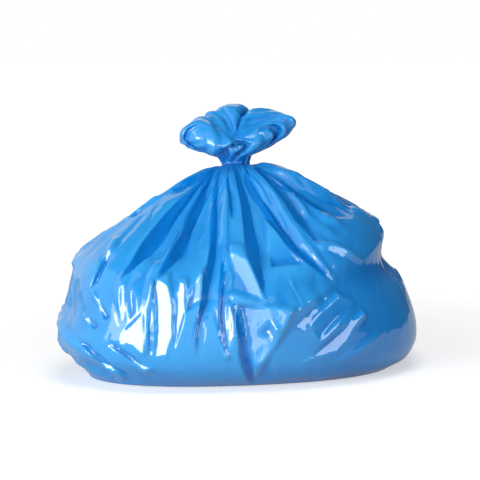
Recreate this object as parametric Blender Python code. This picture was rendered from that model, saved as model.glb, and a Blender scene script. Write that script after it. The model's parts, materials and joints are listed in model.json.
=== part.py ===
"""A filled polythene garbage bag, gathered and twisted shut at the neck, resting on a floor.

The bag is one tube of film, welded across the bottom. Filled and tied it can't be seen into, so it is
one closed solid: a flat base, a slumped body with tucks running down from the neck, and the scrunched
mouth that flares above it.
Metres, +Z up, with the front of the bag towards -Y. The origin is on the floor, under the middle of the bag.
"""

import math

import bpy
import numpy as np

# How the rings of the surface are shared out, how many points go round each, and how much closer those are
# in front
POINTS_ROUND = 160
BASE_RINGS = 1
BODY_RINGS = 25
TUFT_RINGS = 10
FRONT_DENSITY = 0.2

# How far the body reaches from the neck's axis, where it is widest, and how high the pinched neck is
LEFT_REACH = 0.242
RIGHT_REACH = 0.259
FRONT_REACH = 0.194
BACK_REACH = 0.194
NECK_HEIGHT = 0.292
NECK_HALF_WIDTH = 0.018
NECK_HALF_DEPTH = 0.015

# How square the body is in plan: 1 is an ellipse, less is boxier
BODY_SQUARENESS = 0.86

# How far the bag lies forward for each metre to the left of the neck, and back for each to the right
SKEW = 0.17

# Side outlines of the lower body, from the floor up: (inset from the widest reach, height above the floor)
LEFT_SIDE = [(0.045, 0.000), (0.032, 0.010), (0.019, 0.030), (0.000, 0.050), (0.002, 0.074), (0.012, 0.104)]
RIGHT_SIDE = [(0.047, 0.000), (0.019, 0.008), (0.004, 0.026), (0.000, 0.050), (0.008, 0.085), (0.027, 0.120)]
FRONT_SIDE = [(0.064, 0.000), (0.037, 0.008), (0.006, 0.036), (0.000, 0.075), (0.007, 0.112)]
BACK_SIDE = [(0.056, 0.000), (0.030, 0.008), (0.006, 0.034), (0.000, 0.074), (0.008, 0.112)]

# Outlines of the shoulders, going up to the neck: (reach from the neck's axis, drop below the neck)
LEFT_SHOULDER = [
    (0.219, 0.134), (0.195, 0.110), (0.164, 0.085), (0.132, 0.061),
    (0.098, 0.038), (0.066, 0.015), (0.037, 0.003),
]
RIGHT_SHOULDER = [
    (0.209, 0.142), (0.209, 0.108), (0.189, 0.077), (0.151, 0.056),
    (0.110, 0.029), (0.076, 0.008), (0.042, -0.003),
]
FRONT_SHOULDER = [(0.166, 0.132), (0.130, 0.094), (0.096, 0.063), (0.064, 0.036), (0.036, 0.013)]
BACK_SHOULDER = [(0.162, 0.126), (0.126, 0.086), (0.092, 0.053), (0.062, 0.027), (0.036, 0.008)]

# Outlines of the scrunched mouth, from the neck out to the rim and back in: (reach, rise above the neck)
LEFT_TUFT = [(0.032, 0.006), (0.055, 0.017), (0.075, 0.033), (0.069, 0.052), (0.046, 0.062), (0.022, 0.048)]
RIGHT_TUFT = [(0.026, 0.007), (0.048, 0.018), (0.068, 0.036), (0.082, 0.057), (0.067, 0.068), (0.032, 0.052)]
FRONT_TUFT = [(0.024, 0.006), (0.031, 0.014), (0.031, 0.024), (0.018, 0.030)]
BACK_TUFT = [(0.026, 0.012), (0.042, 0.034), (0.052, 0.060), (0.044, 0.079), (0.024, 0.074), (0.009, 0.052)]
TUFT_MIDDLE_RISE = 0.034
TUFT_LEAN = 0.030

# The folds of the front are placed as seen from a little above, at this slope of the line of sight
SIGHT_SLOPE = 0.13

# Tucks of film that run down from the neck: (line of (x, drop below the neck), half width at its start, half
# width at its end, depth)
FRONT_TUCKS = [
    ([(-0.018, 0.006), (-0.035, 0.019), (-0.055, 0.056), (-0.067, 0.107), (-0.102, 0.16)], 0.007, 0.014, 0.015),
    ([(-0.021, 0.010), (-0.046, 0.036), (-0.102, 0.093), (-0.123, 0.124), (-0.151, 0.165)], 0.007, 0.014, 0.015),
    ([(-0.013, 0.006), (-0.025, 0.022), (-0.031, 0.062), (-0.035, 0.159), (-0.050, 0.256)], 0.007, 0.012, 0.016),
    ([(-0.008, 0.006), (-0.014, 0.040), (-0.018, 0.080), (-0.017, 0.110)], 0.004, 0.008, 0.005),
    ([(0.001, 0.004), (0.011, 0.030), (0.018, 0.072), (0.029, 0.158), (0.038, 0.190)], 0.006, 0.013, 0.017),
    ([(0.009, 0.006), (0.027, 0.038), (0.048, 0.076), (0.094, 0.141), (0.115, 0.158)], 0.007, 0.014, 0.017),
    ([(0.018, 0.006), (0.048, 0.025), (0.067, 0.042), (0.080, 0.068), (0.110, 0.120)], 0.006, 0.012, 0.013),
    ([(0.030, 0.008), (0.084, 0.038), (0.115, 0.059), (0.140, 0.076), (0.162, 0.080)], 0.006, 0.010, 0.013),
    ([(-0.028, 0.016), (-0.046, 0.026), (-0.071, 0.039), (-0.098, 0.047)], 0.005, 0.008, 0.006),
    ([(-0.022, 0.150), (-0.021, 0.181), (-0.017, 0.236), (-0.012, 0.272)], 0.005, 0.009, 0.010),
    ([(-0.002, 0.190), (0.004, 0.240), (0.012, 0.280), (0.020, 0.313)], 0.006, 0.014, 0.011),
]

# Ridges of taut film on the front: (line of (x, drop below the neck), half width, height)
FRONT_RIDGES = [
    ([(-0.014, 0.020), (-0.014, 0.117), (-0.006, 0.171), (-0.006, 0.264)], 0.009, 0.007),
    ([(0.030, 0.025), (0.059, 0.067), (0.080, 0.090), (0.106, 0.120), (0.132, 0.150)], 0.008, 0.007),
    ([(0.042, 0.020), (0.063, 0.041), (0.078, 0.073), (0.098, 0.097), (0.136, 0.155)], 0.008, 0.008),
    ([(0.094, 0.038), (0.123, 0.052), (0.148, 0.070)], 0.008, 0.006),
    ([(0.111, 0.117), (0.136, 0.121), (0.162, 0.131), (0.175, 0.141)], 0.012, 0.008),
    ([(-0.106, 0.113), (-0.111, 0.158), (-0.123, 0.202), (-0.144, 0.226)], 0.011, 0.009),
    ([(-0.106, 0.113), (-0.136, 0.158), (-0.155, 0.176)], 0.010, 0.007),
    ([(-0.162, 0.113), (-0.193, 0.176), (-0.200, 0.212)], 0.010, 0.008),
    ([(-0.244, 0.214), (-0.230, 0.235), (-0.216, 0.255)], 0.012, 0.008),
    ([(-0.207, 0.254), (-0.180, 0.277), (-0.150, 0.303)], 0.010, 0.007),
    ([(-0.164, 0.255), (-0.130, 0.275), (-0.097, 0.295)], 0.009, 0.006),
    ([(0.136, 0.160), (0.098, 0.196), (0.071, 0.219), (0.050, 0.251), (0.031, 0.294)], 0.016, 0.008),
    ([(0.084, 0.283), (0.111, 0.265), (0.136, 0.238), (0.148, 0.219), (0.172, 0.209)], 0.016, 0.007),
]

# The section of every fold: how round its crest is, how steeply it falls from there, and the narrowest that
# these rings of points can carry
FOLD_ROUNDING = 0.5
FOLD_STEEPNESS = 1.5
NARROWEST_FOLD = 0.009

# Pleats down the sides and back: each is a sharp valley between round lobes of film
PLEATS = 22
PLEAT_DEPTH = 0.011
PLEAT_HALF_WIDTH = 0.014
PLEAT_HALF_WIDTH_AT_NECK = 0.005
PLEAT_START = 0.060
LONGEST_PLEAT = 0.72
SHORTEST_PLEAT = 0.42

# Ruffles of the scrunched mouth
RUFFLES = 13
RUFFLE_DEPTH = 0.012
RUFFLE_HALF_ANGLE = math.radians(10)

FILM_BLUE = (0.02, 0.27, 0.76, 1.0)
FILM_ROUGHNESS = 0.2


def smooth_step(x):
    """0 below 0, 1 above 1, with a smooth rise between."""
    x = np.clip(x, 0.0, 1.0)
    return x * x * (3 - 2 * x)


def curve_through(points, t):
    """Places on a smooth curve through the points, evenly by length, for t from 0 at its first to 1 at its last."""
    points = np.asarray(points, float)
    last = len(points) - 1
    place = np.linspace(0, last, 40 * last + 1)
    start = np.minimum(place.astype(int), last - 1)
    f = (place - start)[:, None]
    p0 = points[np.maximum(start - 1, 0)]
    p1 = points[start]
    p2 = points[start + 1]
    p3 = points[np.minimum(start + 2, last)]
    bend = 2 * p0 - 5 * p1 + 4 * p2 - p3 + f * (3 * (p1 - p2) + p3 - p0)
    smooth = p1 + 0.5 * f * (p2 - p0 + f * bend)
    travelled = np.concatenate([[0.0], np.cumsum(np.linalg.norm(np.diff(smooth, axis=0), axis=1))])
    wanted = np.clip(t, 0, 1) * travelled[-1]
    return np.stack([np.interp(wanted, travelled, column) for column in smooth.T], -1)


def between_sides(outlines, squareness, azimuth, t):
    """A surface between four side outlines. Azimuth 0 faces the front, and a quarter turn on is the right."""
    left, right, front, back = outlines
    s, c = np.sin(azimuth), np.cos(azimuth)
    side = np.where(s[..., None] > 0, curve_through(right, t), curve_through(left, t))
    face = np.where(c[..., None] > 0, curve_through(front, t), curve_through(back, t))
    x = side[..., 0] * np.sign(s) * np.abs(s) ** squareness
    y = -face[..., 0] * np.sign(c) * np.abs(c) ** squareness
    z = side[..., 1] * s**2 + face[..., 1] * c**2
    return np.stack([x, y + SKEW * x, z], -1)


def body_surface(azimuth, t):
    """The body without its folds, from the edge of the base at t 0 to the neck at t 1."""
    outlines = []
    for widest, side, shoulder, neck_reach in (
        (LEFT_REACH, LEFT_SIDE, LEFT_SHOULDER, NECK_HALF_WIDTH),
        (RIGHT_REACH, RIGHT_SIDE, RIGHT_SHOULDER, NECK_HALF_WIDTH),
        (FRONT_REACH, FRONT_SIDE, FRONT_SHOULDER, NECK_HALF_DEPTH),
        (BACK_REACH, BACK_SIDE, BACK_SHOULDER, NECK_HALF_DEPTH),
    ):
        lower = [(widest - inset, height) for inset, height in side]
        upper = [(reach, NECK_HEIGHT - drop) for reach, drop in shoulder]
        outlines.append(lower + upper + [(neck_reach, NECK_HEIGHT)])
    return between_sides(outlines, BODY_SQUARENESS, azimuth, t)


def tuft_surface(azimuth, t):
    """The mouth without its ruffles, from the neck at t 0, over the rim, to its middle at t 1."""
    outlines = []
    for outline, neck_reach in (
        (LEFT_TUFT, NECK_HALF_WIDTH),
        (RIGHT_TUFT, NECK_HALF_WIDTH),
        (FRONT_TUFT, NECK_HALF_DEPTH),
        (BACK_TUFT, NECK_HALF_DEPTH),
    ):
        places = [(neck_reach, 0.0)] + outline + [(0.0, TUFT_MIDDLE_RISE)]
        outlines.append([(reach, NECK_HEIGHT + rise) for reach, rise in places])
    places = between_sides(outlines, 1.0, azimuth, t)
    places[..., 1] -= TUFT_LEAN * smooth_step(t)
    return places


def outward(surface, azimuth, t):
    """Unit normals of a surface, from its places a little to either side."""
    step = 0.01
    around = surface(azimuth + step, t) - surface(azimuth - step, t)
    up = surface(azimuth, np.minimum(t + step, 1)) - surface(azimuth, np.maximum(t - step, 0))
    normal = np.cross(around, up)
    return normal / np.maximum(np.linalg.norm(normal, axis=-1, keepdims=True), 1e-12)


def distance_to_line(places, line):
    """How far each place is from a line of points, and how far along it the nearest point lies, 0 to 1."""
    line = np.asarray(line, float)
    runs = np.diff(line, axis=0)
    lengths = np.linalg.norm(runs, axis=1)
    travelled = np.concatenate([[0.0], np.cumsum(lengths)])
    nearest = np.full(places.shape[:-1], np.inf)
    along = np.zeros(places.shape[:-1])
    for start, run, length, before in zip(line, runs, lengths, travelled):
        direction = run / length
        to = places - start
        f = np.clip(to @ direction, 0, length)
        distance = np.linalg.norm(to - f[..., None] * direction, axis=-1)
        along = np.where(distance < nearest, (before + f) / travelled[-1], along)
        nearest = np.minimum(distance, nearest)
    return nearest, along


def fold(distance, half_width):
    """The section of a tuck or ridge: 1 at its line, falling away steeply and then slowly to either side."""
    return np.exp(FOLD_ROUNDING - np.sqrt((FOLD_STEEPNESS * distance / half_width) ** 2 + FOLD_ROUNDING**2))


def front_folds(places, normal):
    """How far the folds of the front raise each place of the body, or sink it."""
    facing = smooth_step(-normal[..., 1] / 0.3)
    drop = NECK_HEIGHT - places[..., 2] - SIGHT_SLOPE * places[..., 1]
    seen = np.stack([places[..., 0], drop], -1)
    raised = np.zeros(places.shape[:-1])
    for line, start_width, end_width, depth in FRONT_TUCKS:
        distance, along = distance_to_line(seen, line)
        width = np.maximum(start_width + (end_width - start_width) * along, NARROWEST_FOLD)
        ends = smooth_step(along / 0.2 + 0.3) * smooth_step((1 - along) / 0.3)
        raised -= depth * ends * fold(distance, width)
    for line, half_width, height in FRONT_RIDGES:
        distance, along = distance_to_line(seen, line)
        ends = smooth_step(along / 0.2) * smooth_step((1 - along) / 0.2)
        raised += height * ends * fold(distance, max(half_width, NARROWEST_FOLD))
    return raised * facing


def pleat_depth(places, normal, azimuth, t):
    """How far the pleats of the sides and back draw each place of the body in."""
    reach = np.hypot(places[..., 0], places[..., 1])
    elsewhere = 1 - 0.9 * smooth_step(-normal[..., 1] / 0.35)
    starting = np.minimum(1, reach / PLEAT_START)
    width = PLEAT_HALF_WIDTH_AT_NECK + (PLEAT_HALF_WIDTH - PLEAT_HALF_WIDTH_AT_NECK) * starting
    drawn = np.zeros(places.shape[:-1])
    for k in range(PLEATS):
        wander = math.sin(2.4 * k + 1.0)
        length = SHORTEST_PLEAT + (LONGEST_PLEAT - SHORTEST_PLEAT) * (0.5 + 0.5 * math.sin(3.9 * k))
        middle = 2 * math.pi * (k + 0.25 * wander) / PLEATS + 0.15 * wander * (1 - t)
        turn = np.angle(np.exp(1j * (azimuth - middle)))
        fade = smooth_step((length - (1 - t)) / 0.3) * starting
        drawn += PLEAT_DEPTH * (0.8 + 0.2 * wander) * fade * fold(np.abs(turn) * reach, width)
    return drawn * elsewhere


def ruffle_depth(azimuth, t):
    """How far the ruffles draw each place of the mouth in."""
    drawn = np.zeros(np.shape(azimuth))
    swell = np.sin(np.pi * np.clip(1.05 * t, 0, 1)) ** 0.6
    for k in range(RUFFLES):
        middle = 2 * math.pi * (k + 0.3 * math.sin(2.7 * k)) / RUFFLES + 0.2 * np.sin(3 * t + k)
        turn = np.angle(np.exp(1j * (azimuth - middle)))
        depth = RUFFLE_DEPTH * (0.75 + 0.25 * math.cos(4.1 * k))
        drawn += depth * swell * fold(np.abs(turn), RUFFLE_HALF_ANGLE)
    return drawn


def bag_points(azimuth, ring):
    """Places of the bag's skin, for arrays of azimuths and ring numbers counted from the middle of the base."""
    edge = body_surface(azimuth, np.zeros(azimuth.shape))
    base = edge * (ring / BASE_RINGS)[..., None] * np.array([1, 1, 0])

    t = np.clip((ring - BASE_RINGS) / BODY_RINGS, 0, 1)
    body = body_surface(azimuth, t)
    normal = outward(body_surface, azimuth, t)
    raised = front_folds(body, normal) - pleat_depth(body, normal, azimuth, t)
    body = body + normal * (raised * smooth_step(t / 0.08))[..., None]

    u = np.clip((ring - BASE_RINGS - BODY_RINGS) / TUFT_RINGS, 0, 1)
    tuft = tuft_surface(azimuth, u)
    tuft = tuft - outward(tuft_surface, azimuth, u) * ruffle_depth(azimuth, u)[..., None]

    on_base = (ring < BASE_RINGS)[..., None]
    on_tuft = (ring > BASE_RINGS + BODY_RINGS)[..., None]
    return np.where(on_base, base, np.where(on_tuft, tuft, body))


def film_material():
    material = bpy.data.materials.new("blue_film")
    material.use_nodes = True
    shader = material.node_tree.nodes["Principled BSDF"]
    shader.inputs["Base Color"].default_value = FILM_BLUE
    shader.inputs["Roughness"].default_value = FILM_ROUGHNESS
    shader.inputs["Metallic"].default_value = 0.0
    return material


def garbage_bag(collection):
    """The bag: a ball reshaped, with the middle of its base at one pole and of its mouth at the other."""
    rings = BASE_RINGS + BODY_RINGS + TUFT_RINGS
    bpy.ops.mesh.primitive_uv_sphere_add(segments=POINTS_ROUND, ring_count=rings)
    bag = bpy.context.object
    bag.name = bag.data.name = "garbage_bag"

    ball = np.empty(len(bag.data.vertices) * 3)
    bag.data.vertices.foreach_get("co", ball)
    ball = ball.reshape(-1, 3)
    azimuth = np.arctan2(ball[:, 0], -ball[:, 1])
    azimuth -= FRONT_DENSITY * np.sin(azimuth)
    ring = np.round(np.arccos(np.clip(-ball[:, 2], -1, 1)) / np.pi * rings)
    points = bag_points(azimuth, ring)
    points[:, :2] -= (points[:, :2].min(axis=0) + points[:, :2].max(axis=0)) / 2
    bag.data.vertices.foreach_set("co", points.ravel())
    bag.data.update()

    bag.data.shade_smooth()
    bag.data.materials.append(film_material())
    for other in bag.users_collection:
        other.objects.unlink(bag)
    collection.objects.link(bag)
    return bag


def main():
    for old in list(bpy.data.objects):
        bpy.data.objects.remove(old)
    collection = bpy.data.collections.new("Garbage bag")
    bpy.context.scene.collection.children.link(collection)
    garbage_bag(collection)


main()
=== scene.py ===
"""The look of the filled garbage bag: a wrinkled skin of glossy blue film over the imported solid, in a studio.

The skin is a grid of rows of points, from the middle of the base to the middle of the mouth. It starts as
the bag's smooth form with the pleats and creases of its sides and back, and is relaxed as a film a little too
large for its place. The crumples and the front's tucks, ridges and flat pieces go on after that.
Metres, +Z up, front of the bag towards -Y.
"""

import json
import math

import bpy
import numpy as np
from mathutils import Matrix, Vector

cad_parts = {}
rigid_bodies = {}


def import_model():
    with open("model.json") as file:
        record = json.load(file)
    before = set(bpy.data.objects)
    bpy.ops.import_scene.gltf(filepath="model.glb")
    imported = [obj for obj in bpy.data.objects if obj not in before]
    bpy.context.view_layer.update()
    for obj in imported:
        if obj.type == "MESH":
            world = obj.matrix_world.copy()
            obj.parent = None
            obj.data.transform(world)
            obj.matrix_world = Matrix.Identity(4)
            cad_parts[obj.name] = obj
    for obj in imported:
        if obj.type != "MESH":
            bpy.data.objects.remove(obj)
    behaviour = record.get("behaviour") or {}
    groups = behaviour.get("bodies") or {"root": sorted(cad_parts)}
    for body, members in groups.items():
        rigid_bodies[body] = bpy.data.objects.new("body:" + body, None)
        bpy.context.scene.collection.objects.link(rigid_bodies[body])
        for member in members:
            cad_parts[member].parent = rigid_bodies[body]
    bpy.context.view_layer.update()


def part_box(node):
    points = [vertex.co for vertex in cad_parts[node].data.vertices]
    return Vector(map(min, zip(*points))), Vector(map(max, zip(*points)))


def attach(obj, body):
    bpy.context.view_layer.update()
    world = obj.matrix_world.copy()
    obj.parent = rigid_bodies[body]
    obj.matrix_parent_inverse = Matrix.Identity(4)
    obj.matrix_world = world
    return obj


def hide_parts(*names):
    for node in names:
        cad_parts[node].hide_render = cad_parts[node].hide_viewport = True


# Points round each row of the skin's grid, rows from the middle of the base to the middle of the mouth, and
# how much closer together the points are in front
POINTS_ROUND = 480
BASE_ROWS = 8
BODY_ROWS = 128
TUFT_ROWS = 52
FRONT_DENSITY = 0.35

# How far the body reaches from the neck's axis, where it is widest, and how high the pinched neck is
LEFT_REACH = 0.242
RIGHT_REACH = 0.259
FRONT_REACH = 0.194
BACK_REACH = 0.194
NECK_HEIGHT = 0.292
NECK_HALF_WIDTH = 0.018
NECK_HALF_DEPTH = 0.015

# How square the body is in plan: 1 is an ellipse, less is boxier
BODY_SQUARENESS = 0.86

# How far the bag lies forward for each metre to the left of the neck, and back for each to the right
SKEW = 0.17

# Side outlines of the lower body, from the floor up: (inset from the widest reach, height above the floor)
LEFT_SIDE = [(0.045, 0.000), (0.032, 0.010), (0.019, 0.030), (0.000, 0.050), (0.002, 0.074), (0.012, 0.104)]
RIGHT_SIDE = [(0.047, 0.000), (0.019, 0.008), (0.004, 0.026), (0.000, 0.050), (0.008, 0.085), (0.027, 0.120)]
FRONT_SIDE = [(0.064, 0.000), (0.037, 0.008), (0.006, 0.036), (0.000, 0.075), (0.007, 0.112)]
BACK_SIDE = [(0.056, 0.000), (0.030, 0.008), (0.006, 0.034), (0.000, 0.074), (0.008, 0.112)]

# Outlines of the shoulders, going up to the neck: (reach from the neck's axis, drop below the neck)
LEFT_SHOULDER = [
    (0.219, 0.134), (0.195, 0.110), (0.164, 0.085), (0.132, 0.061),
    (0.098, 0.038), (0.066, 0.015), (0.037, 0.003),
]
RIGHT_SHOULDER = [
    (0.209, 0.142), (0.209, 0.108), (0.189, 0.077), (0.151, 0.056),
    (0.110, 0.029), (0.076, 0.008), (0.042, -0.003),
]
FRONT_SHOULDER = [(0.166, 0.132), (0.130, 0.094), (0.096, 0.063), (0.064, 0.036), (0.036, 0.013)]
BACK_SHOULDER = [(0.162, 0.126), (0.126, 0.086), (0.092, 0.053), (0.062, 0.027), (0.036, 0.008)]

# Outlines of the scrunched mouth, from the neck out to the rim and back in: (reach, rise above the neck)
LEFT_TUFT = [(0.032, 0.006), (0.055, 0.017), (0.075, 0.033), (0.069, 0.052), (0.046, 0.062), (0.022, 0.048)]
RIGHT_TUFT = [(0.026, 0.007), (0.048, 0.018), (0.068, 0.036), (0.082, 0.057), (0.067, 0.068), (0.032, 0.052)]
FRONT_TUFT = [(0.024, 0.006), (0.031, 0.014), (0.031, 0.024), (0.018, 0.030)]
BACK_TUFT = [(0.026, 0.012), (0.042, 0.034), (0.052, 0.060), (0.044, 0.079), (0.024, 0.074), (0.009, 0.052)]
TUFT_MIDDLE_RISE = 0.034
TUFT_LEAN = 0.030

# Folds of the front are placed as seen from a little above, at this slope of the line of sight
SIGHT_SLOPE = 0.13

# Tucks that run down from the neck: (line of its bottom as (x, drop below the neck), how far its steep left
# side reaches at the start, and where it is widest, how far its gentle right side reaches, depth)
FRONT_TUCKS = [
    ([(-0.034, 0.017), (-0.050, 0.036), (-0.067, 0.057), (-0.091, 0.088), (-0.115, 0.122),
      (-0.137, 0.150), (-0.153, 0.168)],
     0.003, 0.012, 0.034, 0.015),
    ([(-0.020, 0.007), (-0.032, 0.021), (-0.042, 0.049), (-0.053, 0.076), (-0.060, 0.101),
      (-0.073, 0.125), (-0.087, 0.146), (-0.104, 0.164)],
     0.004, 0.018, 0.034, 0.017),
    ([(-0.010, 0.004), (-0.021, 0.018), (-0.024, 0.057), (-0.025, 0.101), (-0.027, 0.140),
      (-0.032, 0.165), (-0.036, 0.193), (-0.045, 0.224), (-0.050, 0.269)],
     0.004, 0.01, 0.026, 0.01),
    ([(-0.010, 0.025), (-0.004, 0.062), (-0.003, 0.087)], 0.003, 0.004, 0.008, 0.003),
    ([(0.000, -0.004), (0.011, 0.032), (0.021, 0.064), (0.029, 0.101), (0.036, 0.136),
      (0.041, 0.188)],
     0.005, 0.018, 0.044, 0.014),
    ([(0.014, 0.004), (0.025, 0.034), (0.048, 0.063), (0.067, 0.088), (0.090, 0.118), (0.112, 0.143),
      (0.129, 0.165)],
     0.004, 0.016, 0.016, 0.013),
    ([(0.020, 0.001), (0.042, 0.020), (0.064, 0.039), (0.084, 0.064), (0.102, 0.092), (0.115, 0.120)],
     0.004, 0.014, 0.02, 0.011),
    ([(0.025, 0.004), (0.062, 0.025), (0.084, 0.038), (0.115, 0.059), (0.140, 0.076), (0.162, 0.080)],
     0.004, 0.01, 0.016, 0.01),
    ([(-0.028, 0.015), (-0.046, 0.025), (-0.070, 0.036), (-0.098, 0.046)], 0.003, 0.008, 0.022, 0.006),
    ([(-0.020, 0.134), (-0.014, 0.143), (-0.014, 0.196), (-0.013, 0.235), (-0.010, 0.266)],
     0.004, 0.009, 0.012, 0.008),
    ([(-0.003, 0.190), (0.006, 0.213), (0.015, 0.245), (0.021, 0.280), (0.025, 0.314)],
     0.006, 0.013, 0.03, 0.009),
]

# The shares of a tuck's length over which it opens and closes, its depth at the start and its width at the
# end as shares of the full ones, and how softly the painted shade of its steep side ends to the side and
# over its length
TUCK_OPENING = 0.6
TUCK_CLOSING = 0.3
TUCK_START_DEPTH = 0.25
TUCK_END_WIDTH = 0.2
TUCK_PAINTED_SHADE_EDGE = 0.003
TUCK_PAINTED_SHADE_END = 0.1

# Ridges of taut film on the front, with flat sides: (line of (x, drop below the neck), width of its left
# side, width of its right side, height)
FRONT_RIDGES = [
    ([(-0.105, 0.118), (-0.116, 0.196), (-0.122, 0.210)], 0.008, 0.008, 0.003),
    ([(-0.111, 0.123), (-0.139, 0.164)], 0.004, 0.01, 0.004),
    ([(-0.246, 0.210), (-0.230, 0.238), (-0.207, 0.262)], 0.006, 0.009, 0.009),
    ([(-0.232, 0.260), (-0.202, 0.283), (-0.162, 0.305)], 0.006, 0.009, 0.007),
    ([(0.031, 0.017), (0.067, 0.074), (0.094, 0.113), (0.140, 0.174)], 0.008, 0.008, 0.0085),
    ([(0.020, 0.017), (0.048, 0.059), (0.078, 0.101)], 0.004, 0.004, 0.004),
    ([(0.050, 0.011), (0.076, 0.021), (0.120, 0.045), (0.151, 0.066)], 0.006, 0.008, 0.008),
    ([(0.104, 0.115), (0.140, 0.122), (0.176, 0.141)], 0.009, 0.004, 0.006),
    ([(-0.012, 0.015), (-0.012, 0.123), (-0.010, 0.140)], 0.010, 0.005, 0.004),
    ([(-0.106, 0.110), (-0.128, 0.145), (-0.150, 0.172), (-0.152, 0.215)], 0.010, 0.012, 0.005),
    ([(0.064, 0.036), (0.082, 0.050), (0.106, 0.081)], 0.007, 0.006, 0.005),
    ([(0.112, 0.078), (0.124, 0.081), (0.146, 0.091)], 0.008, 0.006, 0.004),
    ([(0.136, 0.169), (0.097, 0.196), (0.063, 0.225), (0.036, 0.266), (0.027, 0.302)], 0.030, 0.012, 0.006),
    ([(0.202, 0.236), (0.165, 0.262), (0.129, 0.279)], 0.008, 0.012, 0.003),
]

# The share of a ridge's length over which it rises at each end, and its share of the full width there
RIDGE_END = 0.3
RIDGE_END_WIDTH = 0.4

# How many points of the smooth line of a tuck or ridge are worked out for each place given of it
POINTS_PER_PLACE = 4

# Flat pieces of taut film on the front: (corners as (x, drop below the neck), how many degrees its normal
# turns to the right of the front, and how many it tilts up)
FRONT_FACETS = [
    ([(-0.165, 0.106), (-0.154, 0.108), (-0.183, 0.169), (-0.196, 0.179)], -16, 10),
    ([(-0.211, 0.248), (-0.197, 0.249), (-0.143, 0.297), (-0.153, 0.307)], -16, 8),
    ([(-0.169, 0.249), (-0.158, 0.251), (-0.106, 0.283), (-0.116, 0.293)], -17, 8),
    ([(-0.153, 0.168), (-0.143, 0.167), (-0.144, 0.221), (-0.154, 0.220)], -18, 10),
    ([(-0.154, 0.237), (-0.120, 0.204), (-0.116, 0.266), (-0.125, 0.267)], -18, 10),
    ([(-0.106, 0.164), (-0.084, 0.154), (-0.078, 0.210), (-0.088, 0.270), (-0.108, 0.270)], -19, 9),
    ([(-0.074, 0.162), (-0.059, 0.161), (-0.066, 0.214), (-0.081, 0.263), (-0.083, 0.221)], -18, 10),
    ([(-0.052, 0.161), (-0.039, 0.144), (-0.042, 0.192), (-0.066, 0.209)], -13, 13),
    ([(-0.116, 0.164), (-0.106, 0.164), (-0.108, 0.266), (-0.115, 0.263)], 10, 4),
    ([(-0.140, 0.178), (-0.125, 0.183), (-0.126, 0.204), (-0.140, 0.216)], -50, 8),
    ([(-0.055, 0.224), (-0.039, 0.195), (-0.045, 0.218), (-0.057, 0.269)], -12, 12),
    ([(-0.042, 0.218), (-0.036, 0.213), (-0.041, 0.269), (-0.046, 0.266)], -18, 10),
    ([(-0.032, 0.196), (-0.025, 0.196), (-0.007, 0.272), (-0.014, 0.272)], -18, 10),
    ([(-0.014, 0.123), (-0.008, 0.123), (-0.006, 0.196), (-0.011, 0.196)], -18, 10),
    ([(-0.011, 0.196), (-0.004, 0.196), (-0.001, 0.231), (-0.006, 0.273), (-0.013, 0.272)], -18, 10),
    ([(-0.008, 0.116), (0.013, 0.116), (0.045, 0.197), (-0.008, 0.181)], -12, 14),
    ([(0.003, 0.196), (0.087, 0.200), (0.062, 0.242), (0.029, 0.304)], -8, 7),
    ([(0.039, 0.081), (0.067, 0.112), (0.094, 0.144), (0.049, 0.148), (0.042, 0.123)], 4, 26),
    ([(0.095, 0.227), (0.136, 0.182), (0.164, 0.195), (0.115, 0.246)], 34, 5),
    ([(0.031, 0.237), (0.048, 0.216), (0.063, 0.231), (0.050, 0.245)], -19, 10),
    ([(0.066, 0.158), (0.073, 0.158), (0.091, 0.195), (0.085, 0.199)], -20, 10),
    ([(0.172, 0.206), (0.178, 0.213), (0.139, 0.265), (0.085, 0.280), (0.120, 0.249)], 23, 9),
    ([(-0.195, 0.178), (-0.185, 0.181), (-0.165, 0.216), (-0.174, 0.220)], -16, 10),
    ([(-0.204, 0.211), (-0.193, 0.214), (-0.181, 0.228), (-0.186, 0.232), (-0.203, 0.223)], -16, 10),
    ([(-0.147, 0.080), (-0.136, 0.071), (-0.126, 0.073), (-0.139, 0.081)], -17, 12),
]

# The width of the soft border round a flat piece, and the furthest that film is moved into its plane
FACET_BORDER = 0.0028
DEEPEST_FACET = 0.008

# Pleats down the sides and back: each is a sharp valley between round lobes of film, and full from this reach
# on. The last four values are the share of the height over which it fades, and how uneven its place,
# direction and depth are
PLEATS = 22
PLEAT_DEPTH = 0.011
PLEAT_HALF_WIDTH = 0.014
PLEAT_HALF_WIDTH_AT_NECK = 0.005
FULL_PLEAT_REACH = 0.060
LONGEST_PLEAT = 0.72
SHORTEST_PLEAT = 0.42
PLEAT_FADE = 0.3
PLEAT_SHIFT = 0.25
PLEAT_DRIFT = 0.15
PLEAT_UNEVENNESS = 0.2

# Straight creases of the sides and back: (how many, how far up the body they start, how far each turns round
# it and how far it rises, as shares of the height, its height and its half width), ranges as (least, most)
RAISED_CREASES = (45, (0.25, 0.80), (0.00, 0.35), (-0.35, -0.10), (0.003, 0.007), (0.008, 0.012))
SUNK_CREASES = (25, (0.25, 0.80), (0.00, 0.35), (-0.35, -0.10), (0.003, 0.006), (0.008, 0.012))
LOW_CREASES = (40, (0.06, 0.30), (0.15, 0.45), (-0.12, 0.12), (0.003, 0.006), (0.008, 0.012))
CREASE_POINTS = 6
CREASE_HEIGHTS = (0.03, 0.9)
CREASE_END = 0.25

# How much less of the pleats and creases the front and the low right end have
PLAIN_FRONT = 0.93
PLAIN_RIGHT_END = 0.85

# Broad soft bumps of what the bag holds: their middles lie on an egg of this reach and middle height
LUMPS = 40
LUMPS_REACH = (0.25, 0.19, 0.12)
LUMPS_MIDDLE = (0, 0, 0.12)
LUMP_SIZE = (0.025, 0.05)
LUMP_HEIGHT = 0.004

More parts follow.
